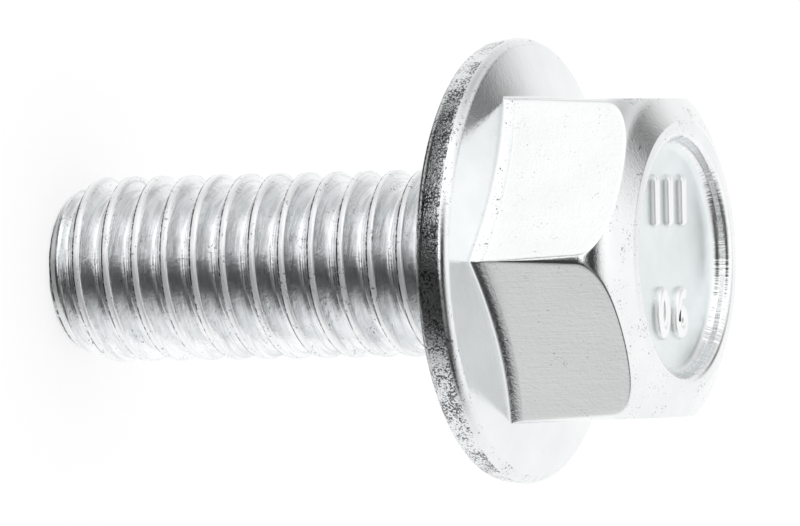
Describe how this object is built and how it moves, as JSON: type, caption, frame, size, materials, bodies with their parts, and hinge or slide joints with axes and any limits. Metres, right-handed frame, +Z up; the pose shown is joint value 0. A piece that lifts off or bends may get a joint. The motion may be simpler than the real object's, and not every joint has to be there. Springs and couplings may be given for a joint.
{
  "type": "flange bolt",
  "caption": "Short hexagon flange bolt with a recessed, chamfered head, a conical flange with a flat bearing face, and a right-hand metric thread along its shank.",
  "frame": {"origin": "centre of the bearing face, the flat ring under the flange", "axes": "+Z up the bolt's axis from the threaded end to the head; a corner of the hexagon points along -Y"},
  "size_m": [0.0138, 0.0138, 0.0206],
  "materials": {
    "zinc_plated_steel": "bright zinc plating with a bluish passivation, slightly uneven"
  },
  "bodies": {
    "root": {"flange_bolt": "zinc_plated_steel"}
  },
  "joints": []
}
